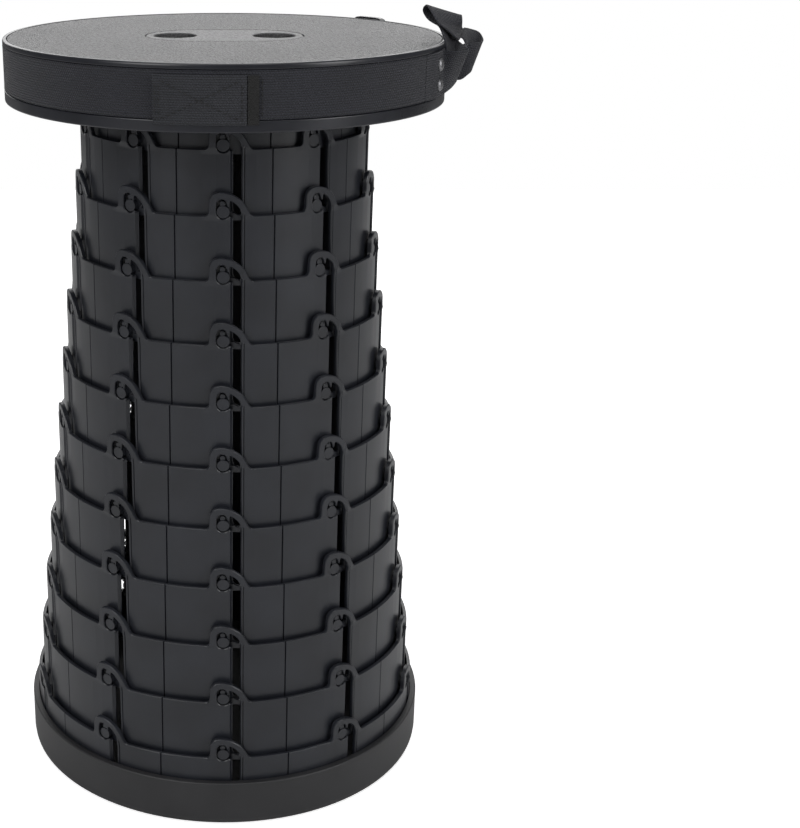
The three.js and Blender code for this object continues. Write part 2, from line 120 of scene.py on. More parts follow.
ROOM_LIGHT = 0.15  # the room's light on the stool; the camera sees it white
FLOOR_GLOW = 0.75  # added for the camera to what the lamps give the floor
FLOOR_REACH = 1.7  # beyond it the white room shows
FLOOR_LEVEL = -0.0005  # just under the rubber
world = bpy.data.worlds.new("studio")
bpy.context.scene.world = world
tree = new_tree(world)
backdrop = tree.node("Background", inputs={"Color": grey(1), "Strength": 1})
room = tree.node("Background", inputs={"Color": grey(1), "Strength": ROOM_LIGHT})
seen = tree.node("LightPath", output="Is Camera Ray")
shown = tree.node("MixShader", inputs={0: seen, 1: room, 2: backdrop})
tree.node("OutputWorld", inputs={"Surface": shown})

floor_mesh = bpy.data.meshes.new("floor")
around = ((-1, -1), (1, -1), (1, 1), (-1, 1))
corners = [(x * FLOOR_REACH, y * FLOOR_REACH, FLOOR_LEVEL) for x, y in around]
floor_mesh.from_pydata(corners, [], [(0, 1, 2, 3)])
floor = bpy.data.objects.new("floor", floor_mesh)
bpy.context.scene.collection.objects.link(floor)
paint = bpy.data.materials.new("floor_paint")
tree = new_tree(paint)
matte = tree.node("BsdfDiffuse", inputs={"Color": grey(0.8)})
glow = tree.node("Emission", inputs={"Color": grey(1), "Strength": FLOOR_GLOW})
dark = tree.node("Emission", inputs={"Color": grey(0), "Strength": 0})
seen = tree.node("LightPath", output="Is Camera Ray")
lit = tree.node("MixShader", inputs={0: seen, 1: dark, 2: glow})
both = tree.node("AddShader", inputs={0: matte, 1: lit})
tree.node("OutputMaterial", inputs={"Surface": both})
floor_mesh.materials.append(paint)


def soft_box(name, place, target, width, height, power):
    """An area lamp in metres and watts, aimed at a target and hidden from the camera."""
    data = bpy.data.lights.new(name, "AREA")
    data.shape = "RECTANGLE"
    data.size = width
    data.size_y = height
    data.energy = power
    light = bpy.data.objects.new(name, data)
    light.visible_camera = False
    light.location = place
    light.rotation_euler = (Vector(target) - Vector(place)).to_track_quat("-Z", "Y").to_euler()
    bpy.context.scene.collection.objects.link(light)


soft_box("front_left_box", (-1.5, -1.8, 1.5), (0, 0, 0.25), 1.2, 1.6, 27)
soft_box("front_right_box", (1.9, -1.3, 1.1), (0, 0, 0.25), 0.8, 1.6, 22)
soft_box("back_box", (0, 2.2, 1.35), (0, 0, 0.45), 3.2, 1.3, 30)
soft_box("top_box", (0, -0.3, 2.4), (0, 0, 0.3), 1.6, 1.6, 18)

# Sliding rings. Ten thin walls of satin black plastic, moulded in one piece each, with ten
# shoulders that stand up over the pockets and a long slot below each shoulder. Round pegs
# near the lower edge stand in the pockets of the next ring out.
MM = 0.001
COLUMNS = 10
RINGS = 10
STRIPS = 12  # facets of a column's share of the wall
WALL = 2.0
RING_STEP = 3.92  # from a ring's radius to the next one's
RING_DROP = 39.35  # the wall below its lip
LIP_BEVEL = 0.45
HUMP = [
    (-13.5, 0), (-11.2, 0.05), (-10, 0.4), (-9.2, 1.3), (-8.85, 2.8), (-8.75, 5.2), (-8.6, 7.9), (-7.7, 10.7),
    (-6.1, 12.4), (-4, 13.1), (-1, 13.25), (3.4, 12.3), (6.6, 10.6), (9.5, 8.5), (11.4, 6.1), (13.2, 2.9),
    (14.2, 1.2), (15.6, 0.15), (17.4, 0),
]
SLOT_LEFT = 4.7
SLOT_RIGHT = 9.3
SLOT_FOOT = -35.95
SLOT_CORNERS = (3.9, 0.7)  # radii of its lower corners, left and right
PEG_CENTRE = (-0.8, 2.1)  # of the peg that stands in the pocket
PEG_RADIUS = 3.55
PEG_LIFT = 5.7  # its centre above its own ring's lower edge
PEG_SINK = 0.55  # the peg's face below the outer ring's face
PEG_ROOT = -0.3  # how deep the pegs start inside the wall
NUB_RADIUS = 1.6  # of the small peg above the large one
NUB_ACROSS = -1.1
NUB_LIFT = 4.5
POCKET_RADIUS = 3.9
BAND_RISE = 0.55
BAND_FOOT = -3.0  # where the raised edge starts to swell out of the wall
BAND_TOP = 1.2
BAND_LEFT = -12.5
BAND_RIGHT = 15.6
OVER_TOP = 14  # above every shoulder


def curve_through(points, steps=4):
    """A smooth line through points, as a uniform Catmull-Rom curve."""
    points = np.array(points)
    given = [2 * points[0] - points[1], *points, 2 * points[-1] - points[-2]]
    line = []
    for a, b, c, d in zip(given, given[1:], given[2:], given[3:]):
        for t in np.arange(steps) / steps:
            square = 2 * a - 5 * b + 4 * c - d
            cubic = 3 * b - a - 3 * c + d
            line.append(0.5 * (2 * b + (c - a) * t + square * t**2 + cubic * t**3))
    return np.array([*line, points[-1]])


def arc(centre, radius, start, end, steps):
    """Points on a circle from one angle to another, in degrees."""
    angles = np.radians(np.linspace(start, end, steps + 1))
    return np.stack([centre[0] + radius * np.cos(angles), centre[1] + radius * np.sin(angles)], 1)


def moved_in(loop, distance):
    """A closed loop, counter-clockwise, moved towards its inside."""
    before = np.roll(loop, 1, 0)
    after = np.roll(loop, -1, 0)
    first = loop - before
    second = after - loop
    first /= np.linalg.norm(first, axis=1)[:, None]
    second /= np.linalg.norm(second, axis=1)[:, None]
    normal = np.stack([-(first + second)[:, 1], (first + second)[:, 0]], 1)
    normal /= np.linalg.norm(normal, axis=1)[:, None]
    along = np.abs(np.einsum("ij,ij->i", normal, np.stack([-second[:, 1], second[:, 0]], 1)))
    return loop + normal * distance / np.maximum(along, 0.6)[:, None]


def distance_to(points, loop):
    """How far each point lies inside a closed loop; negative outside it."""
    ends = np.roll(loop, -1, 0)
    side = ends - loop
    offset = points[:, None] - loop[None]
    share = np.clip(np.einsum("ijk,jk->ij", offset, side) / np.einsum("jk,jk->j", side, side), 0, 1)
    nearest = np.linalg.norm(offset - share[..., None] * side, axis=2).min(1)
    crosses = (loop[:, 1] > points[:, None, 1]) != (ends[:, 1] > points[:, None, 1])
    level = np.where(side[:, 1] == 0, 1, side[:, 1])
    reach = loop[:, 0] + (points[:, None, 1] - loop[:, 1]) * side[:, 0] / level
    inside = (crosses & (points[:, None, 0] < reach)).sum(1) % 2 == 1
    return np.where(inside, nearest, -nearest)


hump = curve_through(HUMP, 3)[::-1]
pocket_roof = curve_through(
    [(SLOT_RIGHT, 0.8), (9.0, 2.4), (8.2, 4.3), (6.6, 6.2), (4.6, 7.7), (3.2, 8.3), (2.7, 7.3), (2.5, 5.6),
     (1.9, 5.4), (1.3, 7), (0.3, 8.7), (-1.2, 9.3), (-3.2, 8.9), (-4.4, 7.3), (-4.75, 4.6), (-4.7, 2.1)],
    2,
)
slot_middle = (SLOT_LEFT + SLOT_RIGHT) / 2
opening = np.concatenate([
    pocket_roof[:-1],
    arc(PEG_CENTRE, POCKET_RADIUS, 180, 326, 9),
    [(3.2, -0.7), (SLOT_LEFT, -1.0)],
    arc((SLOT_LEFT + SLOT_CORNERS[0], SLOT_FOOT + 4), SLOT_CORNERS[0], 180, 270, 7),
    arc((SLOT_RIGHT - SLOT_CORNERS[1], SLOT_FOOT + 0.8), SLOT_CORNERS[1], 270, 360, 3),
])
BEAD = [  # (across, depth) of the rounded bead right of the slot and the fine groove beside it
    (9.3, 0), (9.5, 0.25), (9.75, 0.42), (10.1, 0.45), (10.45, 0.3), (10.65, 0), (10.8, -0.5), (11.0, -0.5),
    (11.2, 0),
]
BEAD_TOP = 1.5
LEDGE_LEFT = 3.1
LEDGE_DEPTH = 1.45
ledge = np.array([
    (LEDGE_LEFT, -0.8), (LEDGE_LEFT, SLOT_FOOT + 1), (slot_middle, SLOT_FOOT + 1), (slot_middle, -0.8),
])
GROOVE_DEPTH = 0.9  # of the fine groove half way between two columns
GROOVE_HALF = 0.46
SKIN = 0.42  # left outside the hidden groove that the pegs run down
peg_way = np.array([(-4.7, 2.1), (-4.7, -37.1), (2.9, -37.1), (2.9, 2.1)])


def triangles(loops, lines, keep):
    """Points and triangles of a flat sheet whose edges follow closed loops and open lines."""
    points, edges = [], []
    for loop in loops:
        first = len(points)
        points += [Vector(p) for p in loop]
        edges += [(first + i, first + (i + 1) % len(loop)) for i in range(len(loop))]
    for line in lines:
        first = len(points)
        points += [Vector(p) for p in line]
        edges += [(first + i, first + i + 1) for i in range(len(line) - 1)]
    found = delaunay_2d_cdt(points, edges, [], 0, 1e-5)
    flat = np.array([p[:] for p in found[0]])
    faces = np.array(found[2])
    a, b, c = flat[faces[:, 0]], flat[faces[:, 1]], flat[faces[:, 2]]
    area = (b[:, 0] - a[:, 0]) * (c[:, 1] - a[:, 1]) - (b[:, 1] - a[:, 1]) * (c[:, 0] - a[:, 0])
    faces = np.where((area > 0)[:, None], faces, faces[:, ::-1])
    faces = faces[(np.abs(area) > 1e-7) & keep((a + b + c) / 3)]
    return flat, faces


def rim_edges(faces):
    """The edges that only one triangle uses, in its direction."""
    edges = {(int(f[i]), int(f[(i + 1) % 3])) for f in faces for i in range(3)}
    return [(a, b) for a, b in edges if (b, a) not in edges]


def sheet_of_wall(radius, drop, has_columns):
    """One column's share of a ring: points as (across, up, depth) and triangles."""
    half = math.pi * radius / COLUMNS
    top = hump if has_columns else np.array([(1.0, 0.0), (-1.0, 0.0)])
    outline = np.array([(-half, -drop), (half, -drop), (half, 0), *top, (-half, 0)])
    wide = np.array([(-2 * half, -drop), (2 * half, -drop), (2 * half, 0), *top, (-2 * half, 0)])
    openings = [opening] if has_columns else []

    def is_wall(points):
        wall = distance_to(points, outline) > 0
        for hole in openings:
            wall &= distance_to(points, hole) < 0
        return wall

    uprights = [[(s, -drop - 1), (s, OVER_TOP)] for s in np.linspace(-half, half, STRIPS + 1)[1:-1]]
    uprights += [[(s, -drop - 1), (s, OVER_TOP)] for s in (GROOVE_HALF - half, half - GROOVE_HALF)]
    loops = [outline, moved_in(wide, LIP_BEVEL)]
    if has_columns:
        loops += [opening, moved_in(opening, -LIP_BEVEL), ledge, peg_way]
        uprights += [[(s, -drop - 1), (s, BEAD_TOP)] for s, _ in BEAD[1:]]
        levels = [[(-13, u), (17, u)] for u in np.linspace(BAND_FOOT, BAND_TOP, 6)]
    else:
        levels = []
    front, front_faces = triangles(loops, uprights + levels, is_wall)

    side = half - np.abs(front[:, 0])
    depth = -GROOVE_DEPTH * (1 - np.clip(side / GROOVE_HALF, 0, 1))
    if has_columns:
        swelling = np.clip((front[:, 1] - BAND_FOOT) / (BAND_TOP - BAND_FOOT), 0, 1)
        right_fade = np.clip((BAND_RIGHT - front[:, 0]) / 4.5, 0, 1)
        left_fade = np.clip((front[:, 0] - BAND_LEFT) / 3, 0, 1)
        depth += BAND_RISE * swelling**2 * (3 - 2 * swelling) * (right_fade * left_fade)
        beside = np.interp(front[:, 0], [s for s, _ in BEAD], [d for _, d in BEAD], 0, 0)
        depth += beside * np.clip((BEAD_TOP + 0.3 - front[:, 1]) / 1.5, 0, 1)
        sunk = np.clip(distance_to(front, ledge) / 0.2, 0, 1)
        depth = depth * (1 - sunk) - LEDGE_DEPTH * sunk
        to_hole = np.abs(distance_to(front, opening))
        depth -= LIP_BEVEL * (1 - np.clip(to_hole / LIP_BEVEL, 0, 1)) * (1 - sunk)
    to_edge = np.abs(distance_to(front, wide))
    depth -= LIP_BEVEL * (1 - np.clip(to_edge / LIP_BEVEL, 0, 1))

    rim = rim_edges(front_faces)
    lines = [[front[a], front[b]] for a, b in rim]
    lines += uprights[: STRIPS + 1]
    back, back_faces = triangles([peg_way] if has_columns else [], lines, is_wall)
    back_depth = np.full(len(back), -WALL)
    if has_columns:
        thin = distance_to(back, peg_way) > -1e-4
        back_depth[thin] = -SKIN
    place = {tuple(np.round(p, 3)): i for i, p in enumerate(back)}
    first = len(front)
    faces = [tuple(f) for f in front_faces] + [tuple(first + f[::-1]) for f in back_faces]
    for a, b in rim:
        if abs(abs(front[a, 0]) - half) < 1e-4 and abs(abs(front[b, 0]) - half) < 1e-4:
            continue
        behind_a = first + place[tuple(np.round(front[a], 3))]
        behind_b = first + place[tuple(np.round(front[b], 3))]
        faces.append((b, a, behind_a, behind_b))
    points = np.concatenate([np.column_stack([front, depth]), np.column_stack([back, back_depth])])
    return points, faces


def boss(centre, radius, root, tip, sides=20):
    """A round boss on the wall, with a rounded end: points and faces as for the wall."""
    levels = [(radius, root), (radius, tip - 0.4), (radius - 0.12, tip - 0.12), (radius - 0.4, tip)]
    turn = arc((0, 0), 1, 0, 360, sides)[:-1]
    points = [(*(centre + r * p), height) for r, height in levels for p in turn]
    faces = [
        (k * sides + i, k * sides + (i + 1) % sides, (k + 1) * sides + (i + 1) % sides, (k + 1) * sides + i)
        for k in range(len(levels) - 1)
        for i in range(sides)
    ]
    last = (len(levels) - 1) * sides
    faces += [tuple(range(sides))[::-1], tuple(last + i for i in range(sides))]
    return np.array(points), faces


def put_together(name, points, faces):
    """A mesh object from points in metres, with its doubled points merged."""
    merge = 1e-6
    mesh = bpy.data.meshes.new(name)
    mesh.from_pydata([tuple(p) for p in points], [], faces)
    work = bmesh.new()
    work.from_mesh(mesh)
    bmesh.ops.remove_doubles(work, verts=work.verts, dist=merge)
    bmesh.ops.dissolve_degenerate(work, edges=work.edges, dist=merge / 4)
    bmesh.ops.recalc_face_normals(work, faces=work.faces)
    work.to_mesh(mesh)
    work.free()
    piece = bpy.data.objects.new(name, mesh)
    bpy.context.scene.collection.objects.link(piece)
    return piece


def soften(piece, angle=40):
    """Smooth shading that breaks at sharp edges, led by the larger faces."""
    piece.data.shade_smooth()
    piece.data.set_sharp_from_angle(angle=math.radians(angle))
    shading = piece.modifiers.new("shading", "WEIGHTED_NORMAL")
    shading.keep_sharp = True


def wrap(points, radius, lip, column):
    """Bends flat (across, up, depth) points round the stool."""
    angle = points[:, 0] / radius + 2 * math.pi * column / COLUMNS
    reach = (radius + points[:, 2]) * MM
    return np.column_stack([reach * np.sin(angle), -reach * np.cos(angle), lip + points[:, 1] * MM])


def make_ring(name, radius, lip, drop, has_columns=True, has_pegs=True):
    """A whole ring: one column's wall and pegs, bent and repeated round the stool."""
    parts = [sheet_of_wall(radius, drop, has_columns)]
    if has_pegs:
        tip = RING_STEP - PEG_SINK
        foot = PEG_LIFT - drop
        parts.append(boss(np.array((PEG_CENTRE[0], foot)), PEG_RADIUS, PEG_ROOT, tip))
        parts.append(boss(np.array((NUB_ACROSS, foot + NUB_LIFT)), NUB_RADIUS, PEG_ROOT, tip - 0.5, 12))
    points, faces = [], []
    for column in range(COLUMNS):
        for flat, part_faces in parts:
            first = sum(len(p) for p in points)
            points.append(wrap(flat, radius, lip, column))
            faces += [tuple(first + int(i) for i in f) for f in part_faces]
    piece = put_together(name, np.concatenate(points), faces)
    soften(piece)
    return piece


def moulded_plastic(name, level, roughness, grain=0.05, tint=(1, 1, 1.1)):
    """Black moulded plastic: faint clouds in its colour and gloss, and a fine grain."""
    finish = bpy.data.materials.new(name)
    tree = new_tree(finish)
    place = tree.node("TexCoord", output="Object")
    cloud = tree.node("TexNoise", inputs={"Vector": place, "Scale": 34, "Detail": 4})
    fine = tree.node("TexNoise", inputs={"Vector": place, "Scale": 1900, "Detail": 2})
    dark = tuple(level * 0.8 * c for c in tint)
    pale = tuple(level * 1.25 * c for c in tint)
    colour = tree.node("ValToRGB", {"stops": [(0.32, dark), (0.7, pale)]}, {"Fac": cloud})
    bump = tree.node("Bump", inputs={"Height": fine, "Strength": grain, "Distance": 0.0004})
    shader = tree.node(
        "BsdfPrincipled",
        inputs={"Base Color": colour, "Roughness": roughness - 0.06 + cloud * 0.12, "Normal": bump},
    )
    tree.node("OutputMaterial", inputs={"Surface": shader})
    return finish


ring_plastic = moulded_plastic("ring_plastic", 0.0145, 0.36, 0.08, (0.9, 1, 1.32))
SOLID_FACETS = 20  # of a ring's solid; a facet's middle and not a corner lies on +X
base_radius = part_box("base_ring")[1].x / math.cos(math.pi / SOLID_FACETS) / MM
for number in range(1, RINGS + 1):
    node = "ring_%02d" % number
    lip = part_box(node)[0].z + RING_DROP * MM
    ring = make_ring(node + "_moulding", base_radius - (RINGS + 1 - number) * RING_STEP, lip, RING_DROP)
    ring.data.materials.append(ring_plastic)
    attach(ring, "stage_%02d" % number)
    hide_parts(node)


# Base ring. The outermost ring is the same moulding without pegs, fixed to the base plate,
# and the first sliding ring stands in its pockets.
LIP_LIFT = 3.6  # the base's lip above the foot of the ring that stands in it
base_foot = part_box("base_ring")[0].z
base_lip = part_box("ring_10")[0].z + LIP_LIFT * MM
base_drop = (base_lip - base_foot) / MM
base_ring = make_ring("base_ring_moulding", base_radius, base_lip, base_drop, has_pegs=False)
base_ring.data.materials.append(ring_plastic)
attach(base_ring, "base")
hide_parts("base_ring")

# Seat ring. The innermost ring is a plain sleeve under the seat, moulded with the same pegs
# near its lower edge, and stands in the pockets of the first sliding ring.
seat_low, seat_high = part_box("seat_ring")
seat_radius = base_radius - (RINGS + 1) * RING_STEP
seat_drop = (seat_high.z - seat_low.z) / MM
seat_ring = make_ring("seat_ring_moulding", seat_radius, seat_high.z, seat_drop, has_columns=False)
seat_ring.data.materials.append(ring_plastic)
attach(seat_ring, "seat")
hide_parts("seat_ring")


# Base. A skirt round the base ring, a floor plate inside it and rubber under both, all
# turned shapes with softly rounded edges, moulded in black plastic that is a little duller.
def rounded(corners, steps=4):
    """A closed outline of (x, y, radius) corners with the corners rounded off."""
    line = []
    for i, (x, y, radius) in enumerate(corners):
        here = np.array((x, y))
        if radius == 0:
            line.append(here)
            continue
        back = np.array(corners[i - 1][:2]) - here
        ahead = np.array(corners[(i + 1) % len(corners)][:2]) - here
        back = back / np.linalg.norm(back)
        ahead = ahead / np.linalg.norm(ahead)
        half = math.acos(np.clip(back @ ahead, -1, 1)) / 2
        reach = radius / math.tan(half)
        first, last = here + back * reach, here + ahead * reach
        for t in np.linspace(0, 1, steps + 1):
            point = (1 - t) ** 2 * first + 2 * t * (1 - t) * here + t**2 * last
            line.append(point)
    return line


def turned(name, outline, sides=160, place=None):
    """A body of revolution from a closed (radius, height) outline in millimetres."""
    points, faces = [], []
    count = len(outline)
    for k in range(sides):
        turn = 2 * math.pi * k / sides
        points += [(r * MM * math.cos(turn), r * MM * math.sin(turn), h * MM) for r, h in outline]
        ahead = (k + 1) % sides
        for i in range(count):
            j = (i + 1) % count
            if outline[i][0] == 0 and outline[j][0] == 0:
                continue
            faces.append((k * count + i, ahead * count + i, ahead * count + j, k * count + j))
    if place is not None:
        points = [place @ Vector(p) for p in points]
    piece = put_together(name, points, faces)
    soften(piece, 50)
    return piece


skirt_low, skirt_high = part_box("base_skirt")
skirt_outer = skirt_high.x / MM
SKIRT_GAP = 0.3
skirt_inner = base_radius + SKIRT_GAP
skirt_foot, skirt_top = skirt_low.z / MM, skirt_high.z / MM
skirt = turned(
    "base_skirt_moulding",
    rounded([
        (skirt_inner, skirt_foot, 0), (skirt_outer - 0.4, skirt_foot, 0.8), (skirt_outer, skirt_foot + 3, 1),
        (skirt_outer, skirt_top, 1.1), (skirt_inner, skirt_top, 0.4),
    ]),
)
base_plastic = moulded_plastic("base_plastic", 0.017, 0.5)
skirt.data.materials.append(base_plastic)
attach(skirt, "base")
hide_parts("base_skirt")

plate_low, plate_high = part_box("base_plate")
plate_edge = plate_high.x / MM
plate_foot, plate_top = plate_low.z / MM, plate_high.z / MM
PLATE_RIB = 1.6  # the slope's width at a hollow's edge
PLATE_HOLLOW = 0.9  # how deep the underside is cored
plate_line = [(0, plate_foot, 0)]
for start, end in ((26, 58), (62, 100)):
    plate_line += [
        (start, plate_foot, 0.3), (start + PLATE_RIB, plate_foot + PLATE_HOLLOW, 0.3),
        (end, plate_foot + PLATE_HOLLOW, 0.3), (end + PLATE_RIB, plate_foot, 0.3),
    ]
plate_line += [(plate_edge, plate_foot, 0.5), (plate_edge, plate_top, 0), (0, plate_top, 0)]
floor_plate = turned("base_floor_moulding", rounded(plate_line))
floor_plate.data.materials.append(base_plastic)
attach(floor_plate, "base")
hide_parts("base_plate")

GRIP_WIDTH = 12
TREADS = 5  # between the ring's grooves
PAD_PITCH = 3.3
PAD_GROOVES = 5
TREAD_DEPTH = 0.45
grip_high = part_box("grip_ring")[1]
grip_outer, grip_top = grip_high.x / MM, grip_high.z / MM
grip_inner = grip_outer - GRIP_WIDTH
tread = GRIP_WIDTH / TREADS
pad_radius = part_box("grip_pad")[1].x / MM


def treads(middles):
    """Grooves in a rubber face that stands on the floor."""
    line = []
    for middle in middles:
        for offset, depth in ((-0.5, 0), (-0.3, TREAD_DEPTH), (0.3, TREAD_DEPTH), (0.5, 0)):
            line.append((middle + offset, depth, 0.1))
    return line


ring_line = [(grip_inner, grip_top, 0), (grip_inner, 0.2, 0.1)]
ring_line += treads(grip_inner + groove * tread for groove in range(1, TREADS))
ring_line += [(grip_outer, 0, 0.2), (grip_outer, grip_top, 0)]
grip_ring = turned("grip_ring_rubber", rounded(ring_line, 2))
pad_line = [(0, grip_top, 0), (0, 0, 0)]
pad_line += treads(groove * PAD_PITCH for groove in range(1, PAD_GROOVES + 1))
pad_line += [(pad_radius, 0, 0.2), (pad_radius, grip_top, 0)]
grip_pad = turned("grip_pad_rubber", rounded(pad_line, 2), 96)
rubber = moulded_plastic("grip_rubber", 0.012, 0.8, 0.4, (1, 1, 1))
for grip, node in ((grip_ring, "grip_ring"), (grip_pad, "grip_pad")):
    grip.data.materials.append(rubber)
    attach(grip, "base")
    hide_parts(node)

# Seat shell. One turned moulding of glossier black plastic: a flange below, a shallow channel
# for the webbing, a rolled rim that shines, and a ledge inside that the seat plate lies on.
shell_low, shell_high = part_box("seat_shell")
SHELL_OUTER = 128.1
CHANNEL = 126.7
BORE = 125.6
FLANGE_HEIGHT = 6.3
RIM_HEIGHT = 3
RIM_WIDTH = 2.4
LEDGE_DROP = 2.5  # the ledge below the rim
LEDGE_WIDTH = 6
shell_foot, shell_top = shell_low.z / MM, shell_high.z / MM
flange_top = shell_foot + FLANGE_HEIGHT
rim_foot = shell_top - RIM_HEIGHT
ledge_top = shell_top - LEDGE_DROP
ledge_inner = BORE - LEDGE_WIDTH
RIM_INNER = SHELL_OUTER - RIM_WIDTH
shell = turned(
    "seat_shell_moulding",
    rounded([
        (BORE, shell_foot, 0.3), (SHELL_OUTER, shell_foot, 0.9), (SHELL_OUTER, flange_top, 0.7),
        (CHANNEL, flange_top, 0.3), (CHANNEL, rim_foot, 0.3), (SHELL_OUTER, rim_foot, 0.5),
        (SHELL_OUTER, shell_top, 1.45), (RIM_INNER, shell_top, 0.6), (RIM_INNER, ledge_top, 0.2),
        (ledge_inner, ledge_top, 0.2), (ledge_inner, ledge_top - 1, 0.2), (BORE, ledge_top - 1, 0.3),
    ]),
    240,
)
shell.data.materials.append(moulded_plastic("shell_plastic", 0.015, 0.29, 0.04, (0.92, 0.98, 1.3)))
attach(shell, "seat")
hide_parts("seat_shell")


# Seat plate. A thin round plate of black plastic with a fine pebbled grain, dropped into the
# rim, with an oval cut out of its middle for the finger cap.
EDGE_STEPS = 4  # facets of a rounded upper edge


def slab(name, outer, holes, low, high, bevel, place=None):
    """A flat plate with holes and rounded upper edges, from outlines in millimetres."""
    loops = [np.array(outer)] + [np.array(hole) for hole in holes]
    points, faces, caps = [], [], []
    for number, loop in enumerate(loops):
        inward = 1 if number == 0 else -1
        levels = [(0, low), (0, high - bevel)]
        for step in range(1, EDGE_STEPS + 1):
            turn = math.pi / 2 * step / EDGE_STEPS
            levels.append((bevel * (1 - math.cos(turn)), high - bevel * (1 - math.sin(turn))))
        rings = []
        for inset, height in levels:
            line = moved_in(loop, inward * inset) if inset else loop
            rings.append(len(points))
            points += [(x, y, height) for x, y in line]
        count = len(loop)
        for first, second in zip(rings, rings[1:]):
            for i in range(count):
                j = (i + 1) % count
                faces.append((first + i, first + j, second + j, second + i))
        caps.append((loop, moved_in(loop, inward * bevel) if bevel else loop))
    for height, which in ((low, 0), (high, 1)):
        outlines = [cap[which] for cap in caps]

        def inside(middle):
            found = distance_to(middle, outlines[0]) > 0
            for hole in outlines[1:]:
                found &= distance_to(middle, hole) < 0
            return found

        flat, flat_faces = triangles(outlines, [], inside)
        first = len(points)
        points += [(x, y, height) for x, y in flat]
        faces += [tuple(first + int(i) for i in f) for f in flat_faces]
    points = [Vector(p) * MM for p in points]
    if place is not None:
        points = [place @ p for p in points]
    piece = put_together(name, points, faces)
    soften(piece, 30)
    return piece


def oval(length, width):
    """Two half circles joined by straight sides."""
    end = (length - width) / 2
    return np.concatenate([arc((end, 0), width / 2, -90, 90, 24), arc((-end, 0), width / 2, 90, 270, 24)])


CAP_LENGTH = 91.6
CAP_WIDTH = 58.0
CAP_GAP = 0.9  # the cut-out is longer and wider by this
PLATE_GAP = 0.35  # between the plate and the rim
top_low, top_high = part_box("seat_top")
seat_plate = slab(
    "seat_plate_moulding",
    arc((0, 0), RIM_INNER - PLATE_GAP, 0, 360, 180)[:-1],
    [oval(CAP_LENGTH + CAP_GAP, CAP_WIDTH + CAP_GAP)],
    top_low.z / MM,
    top_high.z / MM,
    0.45,
)


def grained_plastic(name, level, roughness, pebble, depth):
    """Moulded plastic with a pebbled face: rounded cells, paler in between."""
    finish = bpy.data.materials.new(name)
    tree = new_tree(finish)
    place = tree.node("TexCoord", output="Object")
    cells = tree.node("TexVoronoi", {"feature": "F1"}, {"Vector": place, "Scale": pebble, "Randomness": 1})
    cloud = tree.node("TexNoise", inputs={"Vector": place, "Scale": 22, "Detail": 5})
    fine = tree.node("TexNoise", inputs={"Vector": place, "Scale": 2600, "Detail": 2})
    hollow = cells * cells * 2.2
    dark = (level * 0.6, level * 0.6, level * 0.64)
    pale = (level * 1.5, level * 1.5, level * 1.58)
    tone = cloud * 0.7 + hollow * 0.4
    colour = tree.node("ValToRGB", {"stops": [(0.3, dark), (0.72, pale)]}, {"Fac": tone})
    height = fine * 0.25 + (1 - hollow)
    bump = tree.node("Bump", inputs={"Height": height, "Strength": depth, "Distance": 0.0004})
    gloss = roughness - 0.1 + cloud * 0.1 + hollow * 0.12
    shader = tree.node("BsdfPrincipled", inputs={"Base Color": colour, "Roughness": gloss, "Normal": bump})
    tree.node("OutputMaterial", inputs={"Surface": shader})
    return finish


pebbled = grained_plastic("pebbled_plastic", 0.035, 0.42, 760, 0.9)
seat_plate.data.materials.append(pebbled)
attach(seat_plate, "seat")
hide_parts("seat_top")

# Finger cap. An oval cap of grained black plastic, snapped up into the seat plate from below,
# with two round holes and a moulded cup under each, so that two fingers lift the stool.
cap_low, cap_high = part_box("finger_cap")
HOLE_RADIUS = 12.5
HOLE_CENTRE = 28.7
CUP_WALL = 1.8
BRIM = 3.0  # how far the brim reaches under the seat plate
BRIM_GAP = 0.3  # between the brim and the seat plate
BRIM_THICK = 2
cap_foot, cap_top = cap_low.z / MM, cap_high.z / MM
brim_top = top_low.z / MM - BRIM_GAP
brim_foot = brim_top - BRIM_THICK
cup_top = brim_top - 1.9  # just inside the brim
holes = [arc((side * HOLE_CENTRE, 0), HOLE_RADIUS, 0, 360, 48)[:-1] for side in (-1, 1)]
cap = slab("finger_cap_moulding", oval(CAP_LENGTH, CAP_WIDTH), holes, brim_foot, cap_top, 1.0)
brim_line = oval(CAP_LENGTH + 2 * BRIM, CAP_WIDTH + 2 * BRIM)
brim = slab("finger_cap_brim", brim_line, holes, brim_foot, brim_top, 0.3)
cap_pieces = [cap, brim]
for side, word in ((-1, "left"), (1, "right")):
    cup = turned(
        "finger_cup_" + word,
        rounded([
            (HOLE_RADIUS, cap_foot, 0.4), (HOLE_RADIUS + CUP_WALL, cap_foot, 0.4),
            (HOLE_RADIUS + CUP_WALL, cup_top, 0), (HOLE_RADIUS, cup_top, 0),
        ]),
        48,
        Matrix.Translation((side * HOLE_CENTRE * MM, 0, 0)),
    )
    cap_pieces.append(cup)
cap_plastic = grained_plastic("cap_plastic", 0.045, 0.4, 900, 0.5)
for piece in cap_pieces:
    piece.data.materials.append(cap_plastic)
    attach(piece, "seat")
    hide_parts("finger_cap")


# Webbing band. Woven polypropylene strap, 25 mm wide, that runs all round the seat's channel.
# Its ends meet beside the near rivets, under the carrying loop.
STRAP_THICK = 1.1
STRAP_WIDE = 25.0


